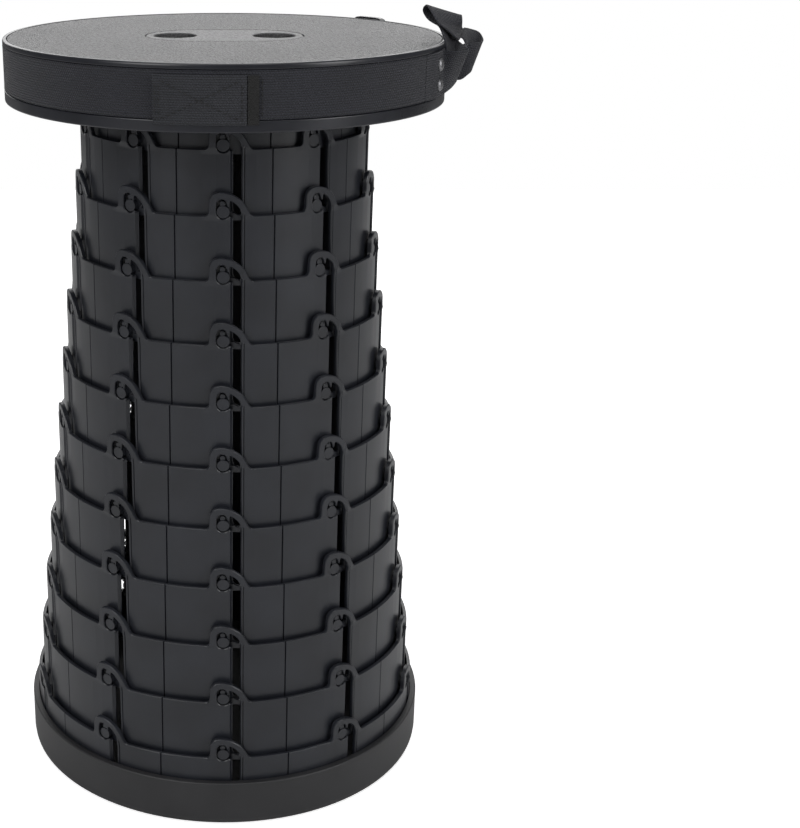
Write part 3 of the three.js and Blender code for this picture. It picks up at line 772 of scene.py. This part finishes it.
def ribbon(name, centres, across, width, thickness, selvedge=0.08):
    """A woven strap along a line, with thicker edges. Its UV map runs in millimetres."""
    centres = np.array(centres)
    across = np.array(across, float)
    along = np.gradient(centres, axis=0)
    along /= np.linalg.norm(along, axis=1)[:, None]
    across /= np.linalg.norm(across, axis=1)[:, None]
    face = np.cross(along, across)
    face /= np.linalg.norm(face, axis=1)[:, None]
    way = np.concatenate([[0], np.cumsum(np.linalg.norm(np.diff(centres, axis=0), axis=1))])
    half = thickness / 2 - 0.04
    width = np.broadcast_to(width, len(centres))
    offsets = np.linspace(-0.48, 0.48, 14)  # shares of the width
    rise = np.where(np.abs(offsets) > 0.41, selvedge, 0)
    upper = [(s, half + r) for s, r in zip(offsets, rise)]
    lower = [(s, -half - r) for s, r in zip(offsets[::-1], rise[::-1])]
    section = np.array([(-0.5, 0), *upper, (0.5, 0), *lower])
    count = len(section)
    points, faces, marks = [], [], []
    for centre, side, normal, reach, wide in zip(centres, across, face, way, width):
        for s, h in section:
            points.append((centre + side * s * wide + normal * h) * MM)
            marks.append((reach, s * STRAP_WIDE))
    for k in range(len(centres) - 1):
        for i in range(count):
            j = (i + 1) % count
            faces.append((k * count + i, (k + 1) * count + i, (k + 1) * count + j, k * count + j))
    last = (len(centres) - 1) * count
    faces += [tuple(range(count)), tuple(last + i for i in range(count))[::-1]]
    mesh = bpy.data.meshes.new(name)
    mesh.from_pydata([tuple(p) for p in points], [], faces)
    weave = mesh.uv_layers.new(name="weave")
    for loop in mesh.loops:
        weave.data[loop.index].uv = marks[loop.vertex_index]
    work = bmesh.new()
    work.from_mesh(mesh)
    bmesh.ops.recalc_face_normals(work, faces=work.faces)
    work.to_mesh(mesh)
    work.free()
    piece = bpy.data.objects.new(name, mesh)
    bpy.context.scene.collection.objects.link(piece)
    soften(piece, 55)
    return piece


def round_seat(azimuth, radius, height):
    """A point beside the seat, at an angle in degrees from the front towards +X."""
    turn = math.radians(azimuth)
    return np.array((radius * math.sin(turn), -radius * math.cos(turn), height))


band_low, band_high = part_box("strap_band")
strap_centre = (band_low.z + band_high.z) / 2 / MM
BAND_MIDDLE = 127.55
NEAR_RIVETS = 66.5
FAR_RIVETS = 107.3
STRAP_END = 1.9  # degrees past the near rivets
azimuths = np.linspace(NEAR_RIVETS + STRAP_END, 360 + NEAR_RIVETS + STRAP_END, 300)
band_line = [round_seat(a, BAND_MIDDLE, strap_centre) for a in azimuths]
UP = np.array((0.0, 0.0, 1.0))
band_piece = ribbon("webbing_band", band_line, [UP] * len(band_line), STRAP_WIDE, STRAP_THICK)


def woven(name, level, pitch_along, pitch_across, depth, fuzz, tint):
    """Woven webbing: rows of yarn that lie brick-wise, with painted shade between the rows and yarns, and
    stray fibres.
    """
    finish = bpy.data.materials.new(name)
    tree = new_tree(finish)
    mark = tree.node("UVMap", {"uv_map": "weave"})
    along = tree.node("SeparateXYZ", inputs={0: mark}, output="X")
    across = tree.node("SeparateXYZ", inputs={0: mark}, output="Y")
    shift = tree.maths("FLOOR", across * (1 / pitch_across)) * 0.5
    rib = tree.maths("ABSOLUTE", tree.maths("SINE", across * (math.pi / pitch_across)))
    yarn = tree.maths("ABSOLUTE", tree.maths("SINE", (along * (1 / pitch_along) + shift) * math.pi))
    place = tree.node("TexCoord", output="Object")
    fibre = tree.node("TexNoise", inputs={"Vector": place, "Scale": 2300, "Detail": 3})
    cloud = tree.node("TexNoise", inputs={"Vector": place, "Scale": 60, "Detail": 3})
    # knit is high on each yarn and low between them; the colour ramp makes it darker between the yarns as
    # painted shade, and the bump raises the yarns too.
    knit = rib * 0.45 + rib * yarn * 0.55
    dark = tuple(level * 0.3 * c for c in tint)
    pale = tuple(level * 2.1 * c for c in tint)
    tone = knit * 0.6 + fibre * 0.25 + cloud * 0.25
    colour = tree.node("ValToRGB", {"stops": [(0.15, dark), (0.85, pale)]}, {"Fac": tone})
    bump = tree.node("Bump", inputs={"Height": knit + fibre * fuzz, "Strength": depth, "Distance": 0.0005})
    shader = tree.node(
        "BsdfPrincipled",
        inputs={
            "Base Color": colour, "Roughness": 0.78 + fibre * 0.15, "Normal": bump, "Sheen Weight": 0.12,
            "Sheen Roughness": 0.5,
        },
    )
    tree.node("OutputMaterial", inputs={"Surface": shader})
    return finish


webbing = woven("webbing", 0.01, 1.5, 1.3, 1.0, 0.35, (0.88, 0.95, 1.4))
band_piece.data.materials.append(webbing)
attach(band_piece, "seat")
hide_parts("strap_band")

# Closing tab. The band's outer end, a length of the same webbing that is sewn down with a
# cross between upright rows, over a strip of hook fabric that peeps out beyond it.
TAB_MIDDLE = 128.95
TAB_DROP = 2.4
tab_azimuths = np.linspace(-16.5, 5, 40)
tab_line = [round_seat(a, TAB_MIDDLE, strap_centre - TAB_DROP) for a in tab_azimuths]
tab_piece = ribbon("webbing_tab", tab_line, [UP] * len(tab_line), STRAP_WIDE, STRAP_THICK)
tab_piece.data.materials.append(woven("tab_webbing", 0.0135, 1.5, 1.3, 1.0, 0.35, (0.9, 0.97, 1.25)))
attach(tab_piece, "seat")
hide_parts("strap_tab")

PATCH_THICK = 0.8
PATCH_FOOT = 128.4
patch_azimuths = np.linspace(5.2, 7.8, 8)
patch_line = [round_seat(a, PATCH_FOOT + PATCH_THICK / 2, strap_centre - TAB_DROP) for a in patch_azimuths]
patch_piece = ribbon("hook_patch_fabric", patch_line, [UP] * len(patch_line), STRAP_WIDE, PATCH_THICK, 0)
patch_piece.data.materials.append(woven("hook_fabric", 0.0015, 0.9, 0.8, 0.9, 0.9, (1, 1, 1)))
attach(patch_piece, "seat")
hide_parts("hook_patch")

THREAD = 0.45
STITCH = 2.3
STITCH_GAP = 0.9
STITCH_FORM = [  # (share of the length, share of the thread's girth, rise)
    (0, 0.35, 0), (0.18, 0.9, 0.2), (0.5, 1, 0.26), (0.82, 0.9, 0.2), (1, 0.35, 0),
]


def stitches(name, lines, radius):
    """Rows of sunk thread on the seat's webbing, each from one (azimuth, height) to another."""
    points, faces = [], []
    for start, end in lines:
        start = np.array((start[0] * math.pi / 180 * radius, start[1]))
        end = np.array((end[0] * math.pi / 180 * radius, end[1]))
        length = np.linalg.norm(end - start)
        along = (end - start) / length
        side = np.array((-along[1], along[0]))
        for reach in np.arange(0.3, length - STITCH, STITCH + STITCH_GAP):
            first = len(points)
            for share, wide, height in STITCH_FORM:
                middle = start + along * (reach + share * STITCH)
                for turn in range(6):
                    angle = math.radians(60 * turn)
                    flat = middle + side * wide * THREAD / 2 * math.cos(angle)
                    out = radius + height - 0.05 + wide * THREAD / 2 * math.sin(angle)
                    points.append(round_seat(flat[0] / radius * 180 / math.pi, out, flat[1]) * MM)
            for k in range(first, first + 24, 6):
                for i in range(6):
                    j = (i + 1) % 6
                    faces.append((k + i, k + j, k + 6 + j, k + 6 + i))
            faces += [tuple(first + i for i in range(6))[::-1], tuple(first + 24 + i for i in range(6))]
    piece = put_together(name, points, faces)
    soften(piece, 60)
    return piece


tab_centre = strap_centre - TAB_DROP
TAB_REACH = 10.9  # of an upright row above and below the tab's middle
CROSS_REACH = 9.6
tab_rows = [((a, tab_centre - TAB_REACH), (a, tab_centre + TAB_REACH)) for a in (-15.9, -15.0, 3.9)]
tab_rows += [((-14.6, tab_centre + r), (3.2, tab_centre - r)) for r in (CROSS_REACH, -CROSS_REACH)]
band_rows = [((a, strap_centre - TAB_REACH), (a, strap_centre + TAB_REACH)) for a in (8.6, 63.2)]
tab_thread = stitches("tab_stitching", tab_rows, TAB_MIDDLE + STRAP_THICK / 2)
band_thread = stitches("band_stitching", band_rows, BAND_MIDDLE + STRAP_THICK / 2)
thread_finish = moulded_plastic("black_thread", 0.006, 0.6, 0.3, (1, 1, 1))
for thread, node in ((tab_thread, "strap_tab"), (band_thread, "strap_band")):
    thread.data.materials.append(thread_finish)
    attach(thread, "seat")
    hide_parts(node)

# Carrying loop. One length of the same webbing between its two traced edges: from the near
# rivets it swings out, folds back on itself, rises, rolls over above the rim, hangs down in
# front, bends round at the right and ends behind its own beginning, at the far rivets.
LOOP_STEPS = 8  # from one row to the next
LOOP_SMOOTHINGS = 14
LOOP_NARROWEST = 20
LOOP_EDGES = [  # x, y, z of the edge that is the upper one at the rivets, then of the other edge
    (108.9, -66.7, 449.1, 108.9, -66.7, 424.1),
    (112.5, -61.1, 449.1, 112.5, -61.1, 424.1),
    (115.8, -56.5, 449.1, 115.8, -56.5, 424.1),
    (118.3, -51.4, 449.1, 118.3, -51.4, 424.1),
    (120.9, -45.2, 449.1, 120.9, -45.2, 424.1),
    (125.9, -48.0, 448.9, 126.7, -37.0, 426.5),
    (131.3, -45.2, 448.7, 129.8, -30.8, 428.4),
    (134.7, -43.1, 448.9, 131.1, -27.9, 429.4),
    (135.6, -41.6, 449.3, 131.6, -26.4, 429.8),
    (134.9, -40.4, 450.0, 131.2, -24.4, 431.1),
    (135.1, -19.3, 449.7, 126.5, -38.7, 436.4),
    (133.6, -13.9, 450.5, 124.9, -36.0, 442.7),
    (132.3, -9.3, 453.4, 123.9, -32.6, 450.0),
    (132.3, -6.9, 455.9, 123.3, -30.1, 453.8),
    (132.6, -5.7, 458.0, 122.1, -28.3, 457.0),
    (134.1, -2.9, 459.1, 120.7, -24.1, 460.3),
    (136.0, -1.7, 460.4, 117.3, -18.3, 461.7),
    (136.6, -2.4, 461.8, 114.3, -13.6, 464.0),
    (136.3, -4.8, 463.1, 112.7, -12.0, 467.2),
    (136.1, -6.4, 463.8, 113.0, -13.9, 469.7),
    (136.1, -8.4, 463.7, 114.1, -18.0, 470.9),
    (136.0, -10.4, 462.1, 115.3, -22.6, 469.3),
    (135.9, -10.7, 460.1, 117.2, -26.3, 465.9),
    (136.0, -9.2, 458.3, 119.7, -27.8, 461.9),
    (136.6, -5.3, 457.0, 125.3, -27.6, 458.0),
    (137.6, -0.1, 456.1, 130.6, -23.9, 453.2),
    (138.8, 4.6, 455.6, 133.4, -19.6, 451.4),
    (140.5, 9.1, 455.3, 134.7, -15.1, 452.8),
    (143.4, 15.1, 454.5, 137.9, -9.1, 450.7),
    (146.3, 18.5, 453.6, 140.4, -4.5, 445.5),
    (149.2, 19.1, 452.8, 143.0, -1.1, 439.4),
    (151.3, 16.8, 451.5, 144.4, -0.8, 435.0),
    (152.0, 13.0, 449.9, 143.7, -4.0, 433.5),
    (151.6, 9.0, 448.6, 142.6, -8.0, 432.6),
    (149.7, 4.8, 447.9, 140.7, -11.8, 431.4),
    (146.3, 1.4, 447.9, 138.5, -14.4, 430.1),
    (142.6, -0.9, 447.8, 136.1, -16.1, 428.9),
    (138.6, -0.7, 447.0, 133.4, -17.3, 429.0),
    (134.6, 2.0, 446.1, 131.0, -15.0, 428.1),
    (130.5, 5.7, 448.9, 130.8, 5.7, 424.0),
    (128.4, 15.8, 449.1, 128.4, 15.8, 424.1),
    (126.6, 24.6, 449.1, 126.6, 24.6, 424.1),
    (124.3, 34.5, 449.1, 124.3, 34.5, 424.1),
]


def line_through(points, count):
    """A smooth curve through points of any dimension, as a centripetal Catmull-Rom curve."""
    points = np.array(points, float)
    given = [2 * points[0] - points[1], *points, 2 * points[-1] - points[-2]]
    line = []
    for share in np.linspace(0, len(points) - 1, count + 1):
        k = min(int(share), len(points) - 2)
        t = share - k
        a, b, c, d = given[k : k + 4]
        u, v, w = (max(np.linalg.norm(q - p) ** 0.5, 1e-4) for p, q in ((a, b), (b, c), (c, d)))
        first = ((b - a) / u - (c - a) / (u + v) + (c - b) / v) * v
        second = ((c - b) / v - (d - b) / (v + w) + (d - c) / w) * v
        cubic = 2 * b - 2 * c + first + second
        square = 3 * c - 3 * b - 2 * first - second
        line.append(cubic * t**3 + square * t**2 + first * t + b)
    return np.array(line)


edges = line_through(LOOP_EDGES, LOOP_STEPS * (len(LOOP_EDGES) - 1))
for _ in range(LOOP_SMOOTHINGS):
    edges[3:-3] = (edges[2:-4] + 2 * edges[3:-3] + edges[4:-2]) / 4
upper_edge, lower_edge = edges[:, :3], edges[:, 3:]
across = upper_edge - lower_edge
loop_width = np.clip(np.linalg.norm(across, axis=1), LOOP_NARROWEST, STRAP_WIDE)
loop_piece = ribbon("webbing_loop", (upper_edge + lower_edge) / 2, across, loop_width, STRAP_THICK)
loop_piece.data.materials.append(webbing)
lap_azimuths = np.linspace(102, 109.2, 12)  # carries the loop's end past the far rivets
lap_line = [round_seat(a, TAB_MIDDLE, strap_centre) for a in lap_azimuths]
lap_piece = ribbon("webbing_lap", lap_line, [UP] * len(lap_line), STRAP_WIDE, STRAP_THICK)
lap_piece.data.materials.append(webbing)
for piece in (loop_piece, lap_piece):
    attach(piece, "seat")
    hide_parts("carry_handle")

# Rivets. Two domed steel heads at each end of the loop, pressed through both layers of the
# webbing.
rivet_steel = bpy.data.materials.new("rivet_steel")
tree = new_tree(rivet_steel)
place = tree.node("TexCoord", output="Object")
scratch = tree.node("TexNoise", inputs={"Vector": place, "Scale": 900, "Detail": 5})
steel_tones = [(0.3, (0.16, 0.16, 0.17)), (0.7, (0.3, 0.3, 0.31))]
colour = tree.node("ValToRGB", {"stops": steel_tones}, {"Fac": scratch})
bump = tree.node("Bump", inputs={"Height": scratch, "Strength": 0.15, "Distance": 0.0001})
shader = tree.node(
    "BsdfPrincipled",
    inputs={"Base Color": colour, "Metallic": 1, "Roughness": 0.38 + scratch * 0.2, "Normal": bump},
)
tree.node("OutputMaterial", inputs={"Surface": shader})
HEAD_FOOT = 129.55
HEAD_RADIUS = 3.5
RIVET_SPREAD = 5.5  # from the webbing's middle
RIVET_OUTLINE = rounded([
    (0, HEAD_FOOT - 0.3, 0), (HEAD_RADIUS, HEAD_FOOT - 0.3, 0.15), (HEAD_RADIUS, HEAD_FOOT + 0.55, 0.4),
    (2.6, HEAD_FOOT + 1.5, 0.9), (1.2, HEAD_FOOT + 1.92, 0.8), (0, HEAD_FOOT + 1.95, 0),
])
for word, azimuth in (("near", NEAR_RIVETS), ("far", FAR_RIVETS)):
    for row, offset in (("low", -RIVET_SPREAD), ("high", RIVET_SPREAD)):
        stand = (
            Matrix.Rotation(math.radians(azimuth), 4, "Z")
            @ Matrix.Translation((0, 0, (strap_centre + offset) * MM))
            @ Matrix.Rotation(math.radians(90), 4, "X")
        )
        name = "rivet_%s_%s" % (word, row)
        rivet = turned(name + "_head", RIVET_OUTLINE, 28, stand)
        rivet.data.materials.append(rivet_steel)
        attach(rivet, "seat")
        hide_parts(name)

# Slide buckle. A flat three-bar frame of glossy black plastic that sits on the band at the
# back and takes up the webbing's slack.
BUCKLE_AZIMUTH = 134.8
BUCKLE_LENGTH = 27.0
BUCKLE_HEIGHT = 33.0
BUCKLE_THICK = 4.4
BUCKLE_BAR = 4.2
BUCKLE_CHEEK = 3.9
BUCKLE_LIFT = 0.3
BUCKLE_FOOT = 128.4


def frame_outline(left, right, low, high, radius):
    corners = [(left, low, radius), (right, low, radius), (right, high, radius), (left, high, radius)]
    return np.array(rounded(corners, 5))


half_long, half_high = BUCKLE_LENGTH / 2, BUCKLE_HEIGHT / 2
window_low, window_high = BUCKLE_CHEEK - half_high, half_high - BUCKLE_CHEEK
buckle = slab(
    "slide_buckle_moulding",
    frame_outline(-half_long, half_long, -half_high, half_high, 7),
    [
        frame_outline(BUCKLE_BAR - half_long, -BUCKLE_BAR / 2, window_low, window_high, 0.9),
        frame_outline(BUCKLE_BAR / 2, half_long - BUCKLE_BAR, window_low, window_high, 0.9),
    ],
    0,
    BUCKLE_THICK,
    1.1,
    Matrix.Rotation(math.radians(BUCKLE_AZIMUTH), 4, "Z")
    @ Matrix.Translation((0, -BUCKLE_FOOT * MM, (strap_centre + BUCKLE_LIFT) * MM))
    @ Matrix.Rotation(math.radians(90), 4, "X"),
)
buckle.data.materials.append(moulded_plastic("buckle_plastic", 0.014, 0.26))
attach(buckle, "seat")
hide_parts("buckle")
